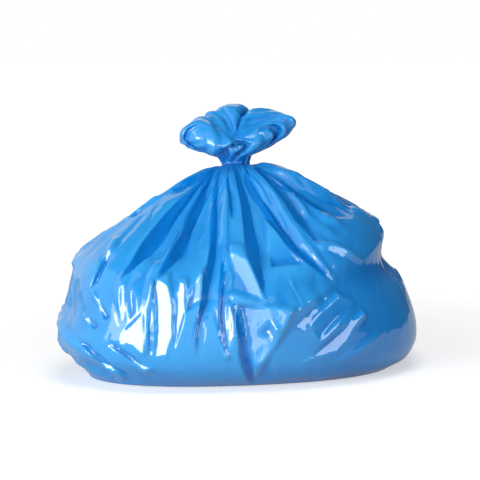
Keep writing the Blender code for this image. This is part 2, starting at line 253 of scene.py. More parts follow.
# Ruffles of the scrunched mouth, which swell between the neck and its middle and fade in its two lobes
RUFFLES = 13
RUFFLE_DEPTH = 0.012
RUFFLE_HALF_ANGLE = math.radians(10)
RUFFLE_SPAN = 1.05
RUFFLE_SWELL = 0.6
RUFFLE_FADE_IN_LOBES = 1.15

# How far inside the solid's skin the film starts, before it buckles outwards
SKIN_INSET = 0.004

# How much longer than its place the film is round the lower body and the neck, as a share, how late that
# rises, how many times as long it is round the mouth, and how narrow the lobes are where it isn't
LOW_FULLNESS = 0.006
NECK_FULLNESS = 0.05
FULLNESS_RISE = 1.5
TUFT_FULLNESS = 1.22
LOBE_SHARPNESS = 1.5

# The coarse relaxation, and how far the film may move in and out in it on the body, the mouth and the front
COARSE = {"longer_along": 1.004, "bend": 0.25, "passes": 220, "unevenness": 0.0015, "seed": 3}
COARSE_IN = 0.010
COARSE_OUT = 0.004
TUFT_IN = 0.008
TUFT_OUT = 0.004
FRONT_GIVE = 0.0006

# The fine relaxation, in which the front may move less by this share
FINE = {"longer_along": 1.002, "bend": 0.1, "passes": 50, "unevenness": 0.0004, "seed": 4}
FINE_FULLNESS = 1.003
FINE_IN = 0.003
FINE_OUT = 0.0015
FINE_FRONT_LESS = 0.8

# How stiff the film is against a skew pull, how much of its speed it keeps from pass to pass, and the
# furthest it moves in one
SKEW_STIFFNESS = 0.6
SPEED_KEPT = 0.9
FASTEST = 0.0008

# How much of the relaxed front is smoothed away, and the rows over which the small folds start
FRONT_SMOOTHING = 0.8
SETTLING_ROWS = 12

# Small crossing folds: (sets, how far apart, how high), and their spread of directions. The last four values
# say how much they wander, how finely they wander and come and go, and in how many waves
BODY_CRUMPLES = (5, (0.025, 0.060), (0.0004, 0.0009))
TUFT_CRUMPLES = (9, (0.012, 0.030), (0.0014, 0.0028))
CRUMPLE_DIRECTIONS = (1.0, 1.0, 0.7)
CRUMPLE_WANDER = 0.35
CRUMPLE_BENDS = 22
CRUMPLE_PATCHES = 30
CRUMPLE_WAVES = 3

# Narrow pleats from the neck, each with a gentle and a steep side
FINE_PLEATS = 80
FINE_PLEAT_LENGTH = (0.12, 0.50)
FINE_PLEAT_HEIGHT = (0.0006, 0.0018)
FINE_PLEAT_DRIFT = (-0.3, 0.3)
FINE_PLEAT_GENTLE_SIDE = (0.006, 0.014)
FINE_PLEAT_STEEP_SIDE = (0.0015, 0.003)
FINE_PLEAT_FADE = 0.2
FULL_WIDTH_REACH = 0.09

# Edges between nearly flat pieces of film, with a wide and a steep side: none has its middle within so many
# rows of the neck
FACET_EDGES = 150
FACET_EDGE_LENGTH = (0.05, 0.14)
FACET_WIDE_SIDE = (0.015, 0.040)
FACET_STEEP_SIDE = (0.002, 0.005)
FACET_EDGE_HEIGHT = (0.0015, 0.0040)
FACET_EDGE_END = 0.6
SAME_SIDE = 0.3
ROWS_WITHOUT_EDGES = 30

# How much less of the crumples, the narrow pleats and the edges the front has
FRONT_CRUMPLES_LESS = 0.5
FRONT_PLEATS_LESS = 0.75
FRONT_EDGES_LESS = 0.9

# Keeps a division from failing where there is nothing to divide by
TINY = 1e-12

# The film: its own colour where it is stretched in one layer, and a deeper colour that stands for
# painted shade in valleys, in tucks' steep sides and on the right side, and for film gathered in layers
# near the neck and the mouth's middle
THIN_FILM_COLOUR = (0.028, 0.29, 0.67)
SHADED_AND_GATHERED_FILM_COLOUR = (0.0005, 0.145, 0.49)
FILM_ROUGHNESS = (0.05, 0.12)

# How much of the deeper colour film takes on: painted shade in a valley, in a tuck's steep side and to the
# right, and near the neck and the mouth's middle, for film gathered in layers and for painted shade there
PAINTED_VALLEY_SHADE = 0.6
PAINTED_STEEP_SIDE_SHADE = 0.8
GATHERED_SHADE = 0.3
PAINTED_RIGHT_SIDE_SHADE = 0.35

# How deep a full valley is, how much of one flat film counts as, over how many rows the shade of the neck and
# the mouth falls away, how far right the painted shade of the right side is full, and the depth of colour,
# painted shade and gathered layers, of the two middles
FULL_VALLEY = 0.008
FLAT_FILM_VALLEY = 0.35
NECK_SHADE_ROWS = 22.0
MOUTH_SHADE_ROWS = 16.0
FULL_RIGHT = 0.20
BASE_MIDDLE_SHADE_AND_LAYERS = 0.5
MOUTH_MIDDLE_SHADE_AND_LAYERS = 0.8

# How much clouds add to the painted shade and layers, where the two colours lie on it, which smears make
# the film glossy and dull, and how far they shift its fine crumple
CLOUD_SHARE = 0.5
COLOUR_PLACES = (0.3, 1.0)
SMEAR_RANGE = (0.3, 0.7)
CRUMPLE_SHIFT = 0.03

# The studio: lamps as (place, aim, width, height, power, if the film mirrors it)
SOFTBOXES = {
    "left_softbox": ((-1.60, -2.18, 0.75), (0, 0, 0.12), 2.4, 1.2, 38, True),
    "left_core": ((-1.48, -1.95, 0.52), (0, 0, 0.12), 0.8, 0.9, 29, True),
    "right_softbox": ((1.6, -1.5, 0.55), (0, 0, 0.12), 0.70, 0.9, 11, True),
    "top_softbox": ((0.1, -0.5, 2.0), (0, 0, 0.1), 1.2, 1.2, 17, False),
}

# The world's strength as light on things
WORLD_STRENGTH = 0.22

# The floor. White is added to it near the bag and away from it, from and to these distances from its middle,
# in full for the camera and by a share for gloss and glass
FLOOR_RADIUS = 8.0
FLOOR_DROP = -0.0005
FLOOR_COLOUR = (0.65, 0.65, 0.65)
FLOOR_WHITENING = (0.50, 0.92)
FLOOR_SEEN_IN_GLOSS = 0.3
SHADOW_REACH = (0.35, 1.40)

# The dark cards that keep the white surroundings out of the bag's right side and top: (lowest corner,
# highest corner)
DARK_CARDS = {
    "right_card": ((1.9, -3.4, -0.6), (1.9, 8.0, 3.2)),
    "ceiling_card": ((-2.6, -3.4, 3.2), (1.9, 2.6, 3.2)),
}
CARD_COLOUR = (0.05, 0.05, 0.06)

# The photograph's camera: in degrees and metres, and where the base's middle is seen in its square frame
CAMERA_ELEVATION = 7.5
CAMERA_DISTANCE = 3.2
PIXEL_SIZE = 0.0014
PHOTO_SIDE = 480
BASE_PIXEL = (239, 367)
SENSOR_WIDTH_MM = 36


def smooth_step(x):
    """0 below 0, 1 above 1, with a smooth rise between."""
    x = np.clip(x, 0.0, 1.0)
    return x * x * (3 - 2 * x)


def rising(value, start, run):
    """0 up to the start, 1 from a run beyond it, with a smooth rise between."""
    return smooth_step((value - start) / run)


def falling(value, end, run):
    """1 up to a run before the end, 0 from the end on, with a smooth fall between."""
    return smooth_step((end - value) / run)


def facing_front(normal, from_y=0.0, run=0.3):
    """How much a place faces the front: 0 where its normal's y is above from_y, 1 from a run below it on."""
    return falling(normal[..., 1], from_y, run)


def within_half_turn(angle):
    """The same angle, as one between half a turn to the left and half a turn to the right."""
    return np.angle(np.exp(1j * angle))


def curve_through(points, t):
    """Places on a smooth curve through the points, evenly by length, for t from 0 to 1."""
    points = np.asarray(points, float)
    last = len(points) - 1
    steps_between = 40
    place = np.linspace(0, last, steps_between * last + 1)
    start = np.minimum(place.astype(int), last - 1)
    f = (place - start)[:, None]
    p0 = points[np.maximum(start - 1, 0)]
    p1 = points[start]
    p2 = points[start + 1]
    p3 = points[np.minimum(start + 2, last)]
    smooth = p1 + 0.5 * f * (p2 - p0 + f * (2 * p0 - 5 * p1 + 4 * p2 - p3 + f * (3 * (p1 - p2) + p3 - p0)))
    travelled = np.concatenate([[0.0], np.cumsum(np.linalg.norm(np.diff(smooth, axis=0), axis=1))])
    wanted = np.clip(t, 0, 1) * travelled[-1]
    return np.stack([np.interp(wanted, travelled, smooth[:, k]) for k in range(points.shape[1])], -1)


def between_sides(outlines, squareness, azimuth, t):
    """A surface between four side outlines. Azimuth 0 faces the front, and a quarter turn on is the right."""
    left, right, front, back = outlines
    s, c = np.sin(azimuth), np.cos(azimuth)
    side = np.where(s[..., None] > 0, curve_through(right, t), curve_through(left, t))
    face = np.where(c[..., None] > 0, curve_through(front, t), curve_through(back, t))
    x = side[..., 0] * np.sign(s) * np.abs(s) ** squareness
    y = -face[..., 0] * np.sign(c) * np.abs(c) ** squareness
    z = side[..., 1] * s**2 + face[..., 1] * c**2
    return np.stack([x, y + SKEW * x, z], -1)


def body_surface(azimuth, t):
    """The body without its folds, from the edge of the base at t 0 to the neck at t 1."""
    outlines = []
    for widest, side, shoulder, neck_reach in (
        (LEFT_REACH, LEFT_SIDE, LEFT_SHOULDER, NECK_HALF_WIDTH),
        (RIGHT_REACH, RIGHT_SIDE, RIGHT_SHOULDER, NECK_HALF_WIDTH),
        (FRONT_REACH, FRONT_SIDE, FRONT_SHOULDER, NECK_HALF_DEPTH),
        (BACK_REACH, BACK_SIDE, BACK_SHOULDER, NECK_HALF_DEPTH),
    ):
        lower = [(widest - inset, height) for inset, height in side]
        upper = [(reach, NECK_HEIGHT - drop) for reach, drop in shoulder]
        outlines.append(lower + upper + [(neck_reach, NECK_HEIGHT)])
    return between_sides(outlines, BODY_SQUARENESS, azimuth, t)


def tuft_surface(azimuth, t):
    """The mouth without its ruffles, from the neck at t 0, over the rim, to its middle at t 1."""
    outlines = []
    for outline, neck_reach in (
        (LEFT_TUFT, NECK_HALF_WIDTH),
        (RIGHT_TUFT, NECK_HALF_WIDTH),
        (FRONT_TUFT, NECK_HALF_DEPTH),
        (BACK_TUFT, NECK_HALF_DEPTH),
    ):
        places = [(neck_reach, 0.0)] + outline + [(0.0, TUFT_MIDDLE_RISE)]
        outlines.append([(reach, NECK_HEIGHT + rise) for reach, rise in places])
    places = between_sides(outlines, 1.0, azimuth, t)
    places[..., 1] -= TUFT_LEAN * smooth_step(t)
    return places


def grid_normals(grid):
    """Unit outward normals of a grid of rows of points."""
    across = np.roll(grid, -1, 1) - np.roll(grid, 1, 1)
    up = np.empty_like(grid)
    up[1:-1] = grid[2:] - grid[:-2]
    up[0] = grid[1] - grid[0]
    up[-1] = grid[-1] - grid[-2]
    normal = np.cross(across, up)
    return normal / np.maximum(np.linalg.norm(normal, axis=-1, keepdims=True), TINY)


def distance_to_line(places, line):
    """How far each place is from a line, how far along it that is, and if it is on its right.

    How far along is 0 at the line's first point and 1 at its last.
    """
    line = np.asarray(line, float)
    runs = np.diff(line, axis=0)
    lengths = np.linalg.norm(runs, axis=1)
    travelled = np.concatenate([[0.0], np.cumsum(lengths)])
    nearest = np.full(places.shape[:-1], np.inf)
    along = np.zeros(places.shape[:-1])
    on_right = np.zeros(places.shape[:-1], bool)
    for start, run, length, before in zip(line, runs, lengths, travelled):
        direction = run / length
        to = places - start
        f = np.clip(to @ direction, 0, length)
        distance = np.linalg.norm(to - f[..., None] * direction, axis=-1)
        nearer = distance < nearest
        along = np.where(nearer, (before + f) / travelled[-1], along)
        on_right = np.where(nearer, to[..., 0] * direction[1] > to[..., 1] * direction[0], on_right)
        nearest = np.minimum(distance, nearest)
    return nearest, along, on_right


def crease(distance, half_width, rounding=0.12):
    """The section of a pleat or crease: 1 at its line, falling away steeply and then slowly to either side."""
    steepness = 1.5
    return np.exp(rounding - np.sqrt((steepness * distance / half_width) ** 2 + rounding**2))


def flat_sided(distance, half_width, rounding=0.05):
    """The section of a fold with flat sides: 1 at its line, and 0 from its half width on."""
    return np.maximum(0, 1 + rounding - np.sqrt((distance / half_width) ** 2 + rounding**2))


def as_seen(places):
    """The places as the front shows them: (x, drop below the neck)."""
    drop = NECK_HEIGHT - places[..., 2] - SIGHT_SLOPE * places[..., 1]
    return np.stack([places[..., 0], drop], -1)


def near_fold(seen, line):
    """What distance_to_line says of the smooth line through the places of a fold."""
    return distance_to_line(seen, curve_through(line, np.linspace(0, 1, POINTS_PER_PLACE * len(line))))


def front_tucks(places):
    """How far the tucks of the front draw each place in, and how much it lies in the steep side of one, which
    gets painted shade.
    """
    seen = as_seen(places)
    drawn = np.zeros(places.shape[:-1])
    steep = np.zeros(places.shape[:-1])
    for line, start_width, widest, gentle_width, depth in FRONT_TUCKS:
        distance, along, on_right = near_fold(seen, line)
        closing = np.minimum(1, (1 - along) / TUCK_CLOSING)
        opening = np.minimum(1, TUCK_START_DEPTH + along / TUCK_OPENING)
        steep_width = start_width + (widest - start_width) * np.minimum(1, along / TUCK_OPENING)
        steep_width = steep_width * (TUCK_END_WIDTH + (1 - TUCK_END_WIDTH) * closing)
        width = np.where(on_right, gentle_width * opening, steep_width)
        drawn = np.maximum(drawn, depth * opening * closing * flat_sided(distance, width))
        # The steep side of a tuck, which gets painted shade
        in_steep = smooth_step((steep_width - distance) / TUCK_PAINTED_SHADE_EDGE + 0.5) * ~on_right
        shade_ends = rising(along, 0, TUCK_PAINTED_SHADE_END) * falling(along, 1, TUCK_PAINTED_SHADE_END)
        steep = np.maximum(steep, in_steep * shade_ends)
    return drawn, steep


def front_ridges(places):
    """How far the ridges of the front raise each place of the body."""
    seen = as_seen(places)
    raised = np.zeros(places.shape[:-1])
    for line, left_width, right_width, height in FRONT_RIDGES:
        distance, along, on_right = near_fold(seen, line)
        ends = np.minimum(1, np.minimum(along, 1 - along) / RIDGE_END)
        width = np.where(on_right, right_width, left_width) * (RIDGE_END_WIDTH + (1 - RIDGE_END_WIDTH) * ends)
        raised += height * ends * flat_sided(distance, width)
    return raised


def flat_facets(places, facing):
    """How far the flat pieces of film on the front move each place, so that it lies in their planes."""
    seen = as_seen(places)
    moved = np.zeros(places.shape)
    for outline, azimuth, elevation in FRONT_FACETS:
        outline = np.asarray(outline, float)
        inside = np.full(places.shape[:-1], np.inf)
        for start, end in zip(outline, np.roll(outline, -1, 0)):
            run = (end - start) / np.linalg.norm(end - start)
            to = seen - start
            inside = np.minimum(inside, run[0] * to[..., 1] - run[1] * to[..., 0])
        share = np.clip(inside / FACET_BORDER, 0, 1) * facing
        middle = (places * share[..., None]).sum((0, 1)) / max(share.sum(), TINY)
        azimuth, elevation = math.radians(azimuth), math.radians(elevation)
        level = math.cos(elevation)
        normal = np.array([math.sin(azimuth) * level, -math.cos(azimuth) * level, math.sin(elevation)])
        off = np.clip((places - middle) @ normal, -DEEPEST_FACET, DEEPEST_FACET)
        moved -= (share * off)[..., None] * normal
    return moved


def pleat_depth(azimuth, t, places):
    """How far the pleats of the sides and back draw each place of the body in.

    Sines of large uneven steps stand in for random draws here and in ruffle_depth.
    """
    reach = np.hypot(places[..., 0], places[..., 1])
    starting = np.minimum(1, reach / FULL_PLEAT_REACH)
    width = PLEAT_HALF_WIDTH_AT_NECK + (PLEAT_HALF_WIDTH - PLEAT_HALF_WIDTH_AT_NECK) * starting
    drawn = np.zeros(places.shape[:-1])
    for k in range(PLEATS):
        wander = math.sin(2.4 * k + 1.0)
        length = SHORTEST_PLEAT + (LONGEST_PLEAT - SHORTEST_PLEAT) * (0.5 + 0.5 * math.sin(3.9 * k))
        middle = 2 * math.pi * (k + PLEAT_SHIFT * wander) / PLEATS + PLEAT_DRIFT * wander * (1 - t)
        turn = within_half_turn(azimuth - middle)
        fade = falling(1 - t, length, PLEAT_FADE) * starting
        depth = PLEAT_DEPTH * (1 - PLEAT_UNEVENNESS + PLEAT_UNEVENNESS * wander)
        drawn += depth * fade * crease(np.abs(turn) * reach, width)
    return drawn


def creases_round(rng, places, count, start_heights, turn, rise, height, width):
    """How far seeded straight creases of the sides and back raise each place. Ranges are (least, most)."""
    raised = np.zeros(places.shape[:-1])
    for _ in range(count):
        start = rng.uniform(0, 2 * math.pi)
        start_t = rng.uniform(*start_heights)
        end = start + rng.uniform(*turn) * rng.choice([-1, 1])
        end_t = np.clip(start_t + rng.uniform(*rise), *CREASE_HEIGHTS)
        f = np.linspace(0, 1, CREASE_POINTS)
        line = body_surface(start + (end - start) * f, start_t + (end_t - start_t) * f)
        distance, along, _ = distance_to_line(places, line)
        ends = rising(along, 0, CREASE_END) * falling(along, 1, CREASE_END)
        raised += rng.uniform(*height) * ends * crease(distance, rng.uniform(*width))
    return raised


def lumps_inside(rng, places):
    """How far broad soft bumps of what the bag holds raise each place."""
    raised = np.zeros(places.shape[:-1])
    for _ in range(LUMPS):
        direction = rng.normal(size=3)
        centre = direction / np.linalg.norm(direction) * LUMPS_REACH + LUMPS_MIDDLE
        size = rng.uniform(*LUMP_SIZE)
        distance = np.linalg.norm(places - centre, axis=-1)
        raised += rng.uniform(-0.5, 1) * LUMP_HEIGHT * np.exp(-((distance / size) ** 2))
    return raised


def ruffle_depth(azimuth, t):
    """How far the ruffles draw each place of the mouth in."""
    drawn = np.zeros(azimuth.shape)
    swell = np.sin(np.pi * np.clip(RUFFLE_SPAN * t, 0, 1)) ** RUFFLE_SWELL
    swell = swell * np.maximum(0, 1 - RUFFLE_FADE_IN_LOBES * np.abs(np.sin(azimuth)) ** 3)
    for k in range(RUFFLES):
        wander = math.sin(2.7 * k)
        middle = 2 * math.pi * (k + 0.35 * wander) / RUFFLES + (0.2 + 0.3 * wander) * np.sin(3 * t + k)
        turn = within_half_turn(azimuth - middle)
        depth = RUFFLE_DEPTH * (0.7 + 0.5 * math.cos(4.1 * k))
        half_angle = RUFFLE_HALF_ANGLE * (1 + 0.5 * math.sin(1.9 * k))
        drawn += depth * swell * crease(np.abs(turn), half_angle)
    return drawn


def azimuths(count):
    """The directions of a row's points from the neck's axis, closer together in front."""
    even = np.arange(count) / count * 2 * np.pi
    return even - FRONT_DENSITY * np.sin(even)


def body_folds(rng, azimuth, t, body, normal):
    """How far the pleats, creases and lumps of the sides and back raise each place of the body."""
    around = -pleat_depth(azimuth, t, body)
    around += creases_round(rng, body, *RAISED_CREASES)
    around -= creases_round(rng, body, *SUNK_CREASES)
    around += creases_round(rng, body, *LOW_CREASES)
    right_end = rising(body[..., 0], start=0.08, run=0.08) * falling(t, end=0.55, run=0.2)
    elsewhere = 1 - PLAIN_FRONT * facing_front(normal, run=0.35)
    around *= elsewhere * (1 - PLAIN_RIGHT_END * right_end)
    lumps = lumps_inside(rng, body) * rising(t, start=0, run=0.3) * falling(t, end=1, run=0.3)
    return around + lumps * (1 - facing_front(normal))


def folded_bag(coarseness):
    """The bag's grid before it is relaxed, and on which rows the base's edge and the neck are.

    It has its pleats, creases, lumps and ruffles, but not yet the tucks and ridges of the front. Coarseness 2
    halves the grid.
    """
    round_count = POINTS_ROUND // coarseness
    base_rows, body_rows, tuft_rows = (rows // coarseness for rows in (BASE_ROWS, BODY_ROWS, TUFT_ROWS))
    azimuth, t = np.meshgrid(azimuths(round_count), np.linspace(0, 1, body_rows + 1))
    body = body_surface(azimuth, t)
    normal = grid_normals(body)
    raised = body_folds(np.random.default_rng(seed=5), azimuth, t, body, normal)
    base = np.array([body[0] * (f, f, 0) for f in np.linspace(0, 1, base_rows + 1)[1:-1]])
    body = body + normal * ((raised - SKIN_INSET) * rising(t, start=0, run=0.06))[..., None]
    body[..., 2] = np.maximum(body[..., 2], 0)

    azimuth, t = np.meshgrid(azimuth[0], np.linspace(0, 1, tuft_rows + 1)[1:-1])
    tuft = tuft_surface(azimuth, t)
    normal = grid_normals(np.concatenate([body[-1:], tuft]))[1:]
    tuft = tuft - normal * ruffle_depth(azimuth, t)[..., None]
    edge = base_rows - 1
    return np.concatenate([base, body, tuft]), edge, edge + body_rows


def links_of(goal, longer_round, longer_along, free, bend):
    """What ties the film's points together: pairs of points, how far apart they want to be, and who moves.

    Each row of the list is a set of pairs in which no point comes twice. Points further than a neighbour
    away only push each other off, and so resist a bend.
    """
    row_count, round_count = goal.shape[:2]
    index = np.arange(row_count * round_count).reshape(row_count, round_count)
    row, column = np.divmod(index, round_count)
    links = []
    for rows, columns, stiffness in (
        (0, 1, 1.0),
        (1, 0, 1.0),
        (1, 1, SKEW_STIFFNESS),
        (1, -1, SKEW_STIFFNESS),
        (0, 2, bend),
        (2, 0, bend),
        (0, 4, bend),
        (4, 0, bend),
    ):
        only_pushes = max(rows, columns) > 1
        last = row_count - rows
        a = index[:last]
        b = np.roll(index[rows:], -columns, 1)
        across = np.roll(goal[:last], -columns, 1) - goal[:last]
        up = np.roll(goal[rows:], -columns, 1) - np.roll(goal[:last], -columns, 1)
        length = np.linalg.norm(across * longer_round[:last, :, None] + up * longer_along, axis=-1)
        turn = (row // rows if rows else column // columns) % 2
        weight_a, weight_b = free.flat[a], free.flat[b]
        total = np.maximum(weight_a + weight_b, TINY)
        for parity in (0, 1):
            chosen = turn[:last] == parity
            share_a = (weight_a / total)[chosen][:, None]
            share_b = (weight_b / total)[chosen][:, None]
            links.append((a[chosen], b[chosen], length[chosen], share_a, share_b, stiffness, only_pushes))
    return links


def relaxed_film(goal, longer_round, free, depth_in, depth_out, longer_along, bend, passes, unevenness, seed):
    """The film near its goal, once it has found room for its size.

    longer_round and longer_along say how many times as long as its goal the film is, and free is 0 where it
    is held. It moves no further than depth_in and depth_out along the goal's normal. bend is how much it
    resists one, and unevenness the height of the random bumps it starts with.
    """
    goal = goal.astype(np.float32)
    normal = grid_normals(goal).reshape(-1, 3)
    links = links_of(goal, longer_round, longer_along, free, bend)
    rng = np.random.default_rng(seed)
    noise = rng.normal(0, unevenness, goal.shape[:2])
    for _ in range(3):
        noise = (noise + np.roll(noise, 1, 1) + np.roll(noise, -1, 1)) / 3
        noise[1:-1] = (noise[:-2] + noise[1:-1] + noise[2:]) / 3
    shape = goal.shape
    goal = goal.reshape(-1, 3)
    held = free.reshape(-1, 1).astype(np.float32)
    depth_in, depth_out = depth_in.ravel(), depth_out.ravel()
    places = goal + normal * noise.reshape(-1, 1).astype(np.float32) * held
    speed = np.zeros_like(places)
    for _ in range(passes):
        before = places.copy()
        places += SPEED_KEPT * speed
        for a, b, length, share_a, share_b, stiffness, only_pushes in links:
            apart = places[b] - places[a]
            now = np.sqrt(np.einsum("ik,ik->i", apart, apart))
            strain = (now - length) / np.maximum(now, TINY) * stiffness
            if only_pushes:
                strain = np.minimum(strain, 0)
            apart *= strain[:, None]
            places[a] += apart * share_a
            places[b] -= apart * share_b
        off = places - goal
        out = np.einsum("ik,ik->i", off, normal)
        off += normal * (np.clip(out, -depth_in, depth_out) - out)[:, None]
        places = (goal + off * held).astype(np.float32)
        places[:, 2] = np.maximum(places[:, 2], 0)
        speed = np.clip(places - before, -FASTEST, FASTEST)
    return places.reshape(shape).astype(float)


def twice_as_fine(grid):
    """A grid with a point between each two of the old ones, on smooth curves through them."""
    between = (9 * (grid + np.roll(grid, -1, 1)) - np.roll(grid, 1, 1) - np.roll(grid, -2, 1)) / 16
    wide = np.stack([grid, between], 2).reshape(len(grid), -1, 3)
    padded = np.concatenate([wide[:1], wide, wide[-1:]])
    middle = (9 * (padded[1:-2] + padded[2:-1]) - padded[:-3] - padded[3:]) / 16
    tall = np.empty((2 * len(wide) - 1, wide.shape[1], 3))
    tall[::2] = wide
    tall[1::2] = middle
    return tall


def grid_rows(grid, edge, neck):
    """For each point its row, how far up the body it is, 0 to 1, and if the relaxed film is free there."""
    row = np.arange(len(grid))[:, None] + np.zeros(grid.shape[:2])
    t = np.clip((row - edge) / (neck - edge), 0, 1)
    free = ((row > edge) & (np.abs(row - neck) > 1)).astype(float)
    return row, t, free


def coarse_film():
    """The film after the coarse relaxation, and on which rows the base's edge and the neck are."""
    goal, edge, neck = folded_bag(2)
    row, t, free = grid_rows(goal, edge, neck)
    tuft = row > neck
    lobes = np.abs(np.sin(azimuths(goal.shape[1]))) ** LOBE_SHARPNESS
    mouth_fullness = 1 + (TUFT_FULLNESS - 1) * (1 - lobes)
    body_fullness = 1 + LOW_FULLNESS + (NECK_FULLNESS - LOW_FULLNESS) * t**FULLNESS_RISE
    longer_round = np.where(tuft, mouth_fullness, body_fullness)
    facing = facing_front(grid_normals(goal), from_y=0.1, run=0.35) * rising(t, start=0.05, run=0.1)
    calm = 1 - (1 - facing) * rising(t, start=0, run=0.35)
    depth_in = np.where(tuft, TUFT_IN, COARSE_IN + (FRONT_GIVE - COARSE_IN) * calm)
    depth_out = np.where(tuft, TUFT_OUT, COARSE_OUT + (FRONT_GIVE - COARSE_OUT) * calm)
    return relaxed_film(goal, longer_round, free, depth_in, depth_out, **COARSE), edge, neck


def fine_film(grid, edge, neck):
    """The film after the fine relaxation."""
    row, _, free = grid_rows(grid, edge, neck)
    longer_round = FINE_FULLNESS * np.ones(grid.shape[:2])
    give = 1 - FINE_FRONT_LESS * facing_front(grid_normals(grid)) * (row < neck)
    return relaxed_film(grid, longer_round, free, FINE_IN * give, FINE_OUT * give, **FINE)


def bag_film_grid():
    """The skin's final grid, how much each point lies in a tuck's steep side, and the neck's row."""
    grid, edge, neck = coarse_film()
    grid = twice_as_fine(grid)
    edge, neck = 2 * edge, 2 * neck
    grid = fine_film(grid, edge, neck)
    row, t, _ = grid_rows(grid, edge, neck)
    settled = rising(row, edge, SETTLING_ROWS) * falling(row, neck, SETTLING_ROWS)
    normal = grid_normals(blurred(grid, 3))
    facing = facing_front(normal) * settled
    grid += (FRONT_SMOOTHING * facing)[..., None] * (blurred(grid, 2) - grid)

    rng = np.random.default_rng(seed=11)
    raised = crumples(grid, rng, *BODY_CRUMPLES) * settled * (1 - FRONT_CRUMPLES_LESS * facing)
    rng = np.random.default_rng(seed=21)
    reach = np.hypot(grid[..., 0], grid[..., 1])
    pleats = fine_pleats(rng, azimuths(grid.shape[1]), t, reach)
    raised += pleats * settled * (1 - FRONT_PLEATS_LESS * facing)
    edges = facet_edges(rng, grid, normal, edge, neck - ROWS_WITHOUT_EDGES)
    raised += edges * settled * (1 - FRONT_EDGES_LESS * facing)
    in_tuft = rising(row, neck, run=20) * falling(row, len(grid), run=10)
    rng = np.random.default_rng(seed=12)
    raised += crumples(grid, rng, *TUFT_CRUMPLES) * in_tuft

    drawn, steep = front_tucks(grid)
    raised += (front_ridges(grid) - drawn) * facing
    grid = grid + normal * raised[..., None]
    return grid + flat_facets(grid, facing), steep * facing, neck


def crumples(grid, rng, sets, spacing, height):
    """Small sharp folds all over: creases of flat film that cross each other, as heights of each point."""
    raised = np.zeros(grid.shape[:2])
    any_phase = (0, 6.3)
    for _ in range(sets):
        direction = rng.normal(size=3) * CRUMPLE_DIRECTIONS
        direction /= np.linalg.norm(direction)
        apart = rng.uniform(*spacing)
        bends = np.zeros(grid.shape[:2])
        patches = np.zeros(grid.shape[:2])
        for _ in range(CRUMPLE_WAVES):
            bends += np.sin(grid @ rng.normal(0, CRUMPLE_BENDS, 3) + rng.uniform(*any_phase))
            patches += np.sin(grid @ rng.normal(0, CRUMPLE_PATCHES, 3) + rng.uniform(*any_phase))
        phase = grid @ direction / apart + CRUMPLE_WANDER * bends + rng.uniform(0, 1)
        ridges = 1 - 4 * np.abs(phase - np.floor(phase) - 0.5)
        raised += rng.uniform(*height) * ridges * smooth_step(patches / 2 - 0.2)
    return raised


def fine_pleats(rng, azimuth, t, reach):
    """Heights of narrow straight pleats that run down from the neck, each with a gentle and a steep side."""
    raised = np.zeros(reach.shape)
    for _ in range(FINE_PLEATS):
        middle = rng.uniform(0, 2 * math.pi)
        drift = rng.uniform(*FINE_PLEAT_DRIFT)
        length = rng.uniform(*FINE_PLEAT_LENGTH)
        turn = rng.choice([-1, 1]) * within_half_turn(azimuth - middle - drift * (1 - t)) * reach
        narrowing = np.minimum(1, reach / FULL_WIDTH_REACH)
        gentle, steep = rng.uniform(*FINE_PLEAT_GENTLE_SIDE), rng.uniform(*FINE_PLEAT_STEEP_SIDE)
        width = np.where(turn > 0, gentle, steep) * narrowing
        fade = falling(1 - t, length, FINE_PLEAT_FADE)
        section = flat_sided(np.abs(turn), width, rounding=0.04)
        raised += rng.uniform(*FINE_PLEAT_HEIGHT) * narrowing * fade * section
    return raised


def facet_edges(rng, grid, normal, first_row, last_row):
    """Heights of straight sharp edges between nearly flat pieces of film, which lie in all directions."""
    raised = np.zeros(grid.shape[:2])
    for _ in range(FACET_EDGES):
        row = rng.integers(first_row, last_row)
        column = rng.integers(grid.shape[1])
        outwards = normal[row, column]
        direction = np.cross(outwards, rng.normal(size=3))
        direction /= np.linalg.norm(direction)
        half_length = rng.uniform(*FACET_EDGE_LENGTH) / 2
        to = grid - grid[row, column]
        across = to @ np.cross(outwards, direction)
        ends = np.clip((half_length - np.abs(to @ direction)) / (FACET_EDGE_END * half_length), 0, 1)
        width = np.where(across > 0, rng.uniform(*FACET_WIDE_SIDE), rng.uniform(*FACET_STEEP_SIDE))
        same_side = normal @ outwards > SAME_SIDE
        section = flat_sided(np.abs(across), width, rounding=0.04)
        raised += rng.uniform(*FACET_EDGE_HEIGHT) * ends * same_side * section
    return raised


def blurred(values, reach):
    """Values of the grid, averaged twice over the points up to so many steps away."""
    for _ in range(2):
        total = values.copy()
        for step in range(1, reach + 1):
            total += np.roll(values, step, 1) + np.roll(values, -step, 1)
        values = total / (2 * reach + 1)
        padded = np.pad(values, [(reach, reach)] + [(0, 0)] * (values.ndim - 1), mode="edge")
        values = sum(padded[k : k + len(values)] for k in range(2 * reach + 1)) / (2 * reach + 1)
    return values


